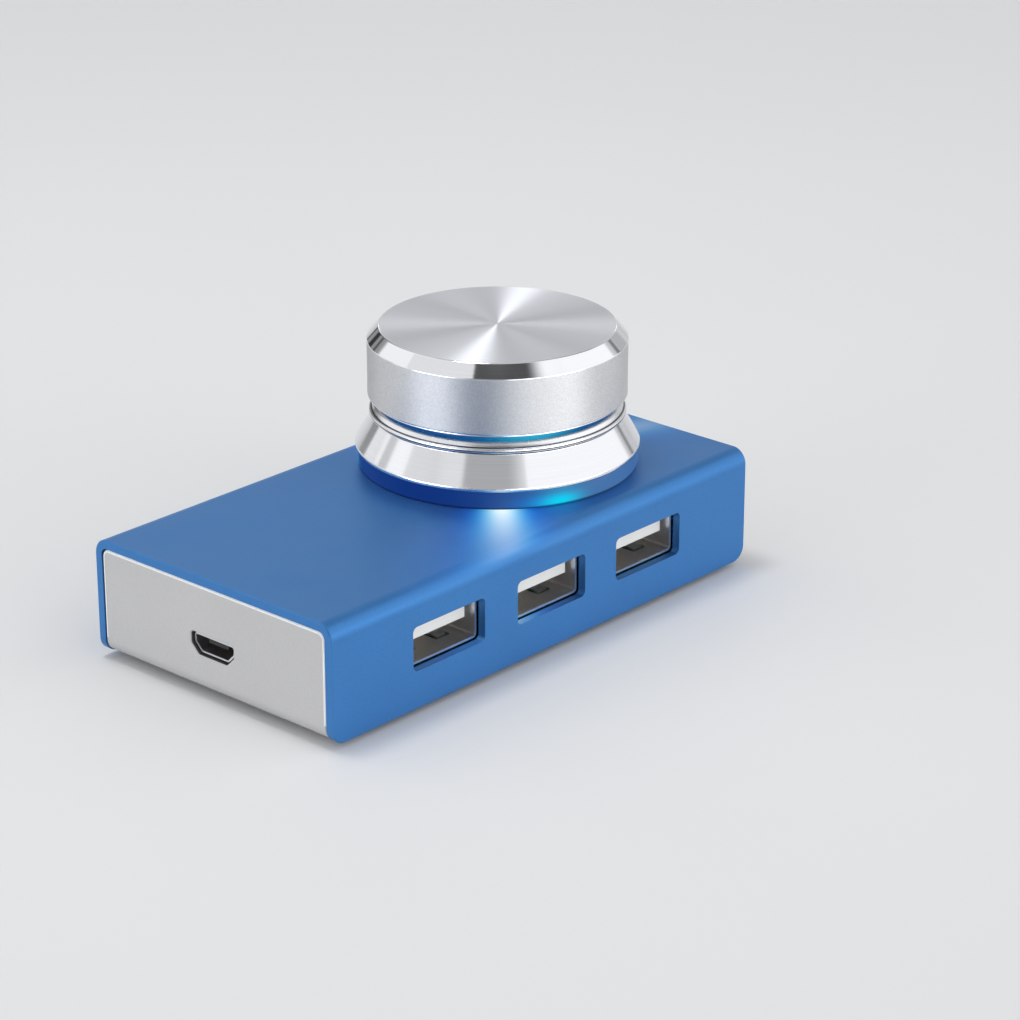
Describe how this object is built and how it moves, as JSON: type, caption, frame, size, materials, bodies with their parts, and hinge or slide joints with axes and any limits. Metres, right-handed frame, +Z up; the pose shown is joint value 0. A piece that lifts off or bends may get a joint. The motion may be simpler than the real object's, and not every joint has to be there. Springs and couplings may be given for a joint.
{
  "type": "usb volume control knob",
  "caption": "Flat metal desk box with a large press-and-turn knob on a glowing ring, USB-A sockets along one side and a micro-USB inlet at one end.",
  "frame": {"origin": "on the table, under the middle of the housing", "axes": "+X along the housing, from the micro-USB end towards the knob; +Y away from the USB-A sockets; +Z up along the knob's axis"},
  "size_m": [0.083, 0.044, 0.0372],
  "materials": {
    "blue_anodised": "fine blasted and anodised blue",
    "tray_silver": "fine blasted silver",
    "rubber": "matt black",
    "screw_steel": "plated steel",
    "brass": "turned brass",
    "circuit_board": "green solder mask",
    "steel": "plated steel",
    "can_aluminium": "drawn aluminium can",
    "ceramic": "ceramic chip parts",
    "black_plastic": "black moulded plastic",
    "white_plastic": "white moulded plastic",
    "gold": "gold-plated contacts",
    "cast_zinc": "cast zinc alloy",
    "blue_light_guide": "blue translucent acrylic, lit from inside",
    "lamp_white": "light-emitting diode package",
    "polished_aluminium": "polished turned aluminium",
    "knob_aluminium": "spun top, diamond-cut bevel, blasted side"
  },
  "bodies": {
    "housing": {"housing_shell": "blue_anodised", "base_tray": "tray_silver", "rubber_feet": "rubber", "tray_screws": "screw_steel", "board_spacers": "brass", "board_nuts": "screw_steel", "main_board": "circuit_board", "crystal": "steel", "can_capacitors": "can_aluminium", "chip_parts": "ceramic", "hub_chip": "black_plastic", "controller_chip": "black_plastic", "usb_a_shell_1": "steel", "usb_a_tongue_1": "white_plastic", "usb_a_contacts_1": "gold", "usb_a_shell_2": "steel", "usb_a_tongue_2": "white_plastic", "usb_a_contacts_2": "gold", "usb_a_shell_3": "steel", "usb_a_tongue_3": "white_plastic", "usb_a_contacts_3": "gold", "micro_usb_shell": "steel", "micro_usb_tongue": "black_plastic", "micro_usb_contacts": "gold", "encoder_base": "black_plastic", "encoder_bushing": "cast_zinc", "encoder_clip": "steel", "encoder_terminals": "steel", "spacer_sleeve": "black_plastic", "panel_washer": "steel", "panel_nut": "steel", "light_ring": "blue_light_guide", "light_board": "circuit_board", "lamps": "lamp_white", "header_pins": "gold", "header_strip": "black_plastic", "roof_screws": "screw_steel", "skirt_ring": "polished_aluminium"},
    "switch": {"switch_plunger": "black_plastic"},
    "knob": {"knob_cap": "knob_aluminium", "knob_insert": "black_plastic", "encoder_shaft": "steel"},
    "code_wheel": {"encoder_rotor": "black_plastic"}
  },
  "joints": [
    {"name": "knob_press", "type": "slide", "parent": "housing", "child": "switch", "axis": [0, 0, -1], "range_m": [0, 0.0005], "stiffness_N_per_m": 3000, "springref_m": -0.001},
    {"name": "knob_turn", "type": "hinge", "parent": "switch", "child": "knob", "pos_m": [0.0157, 0.002, 0.03], "axis": [0, 0, 1], "continuous": true},
    {"name": "wheel_turn", "type": "hinge", "parent": "housing", "child": "code_wheel", "pos_m": [0.0157, 0.002, 0.0095], "axis": [0, 0, 1], "continuous": true}
  ],
  "couplings": [
    {"joint": "wheel_turn", "follows": "knob_turn", "ratio": 1}
  ]
}
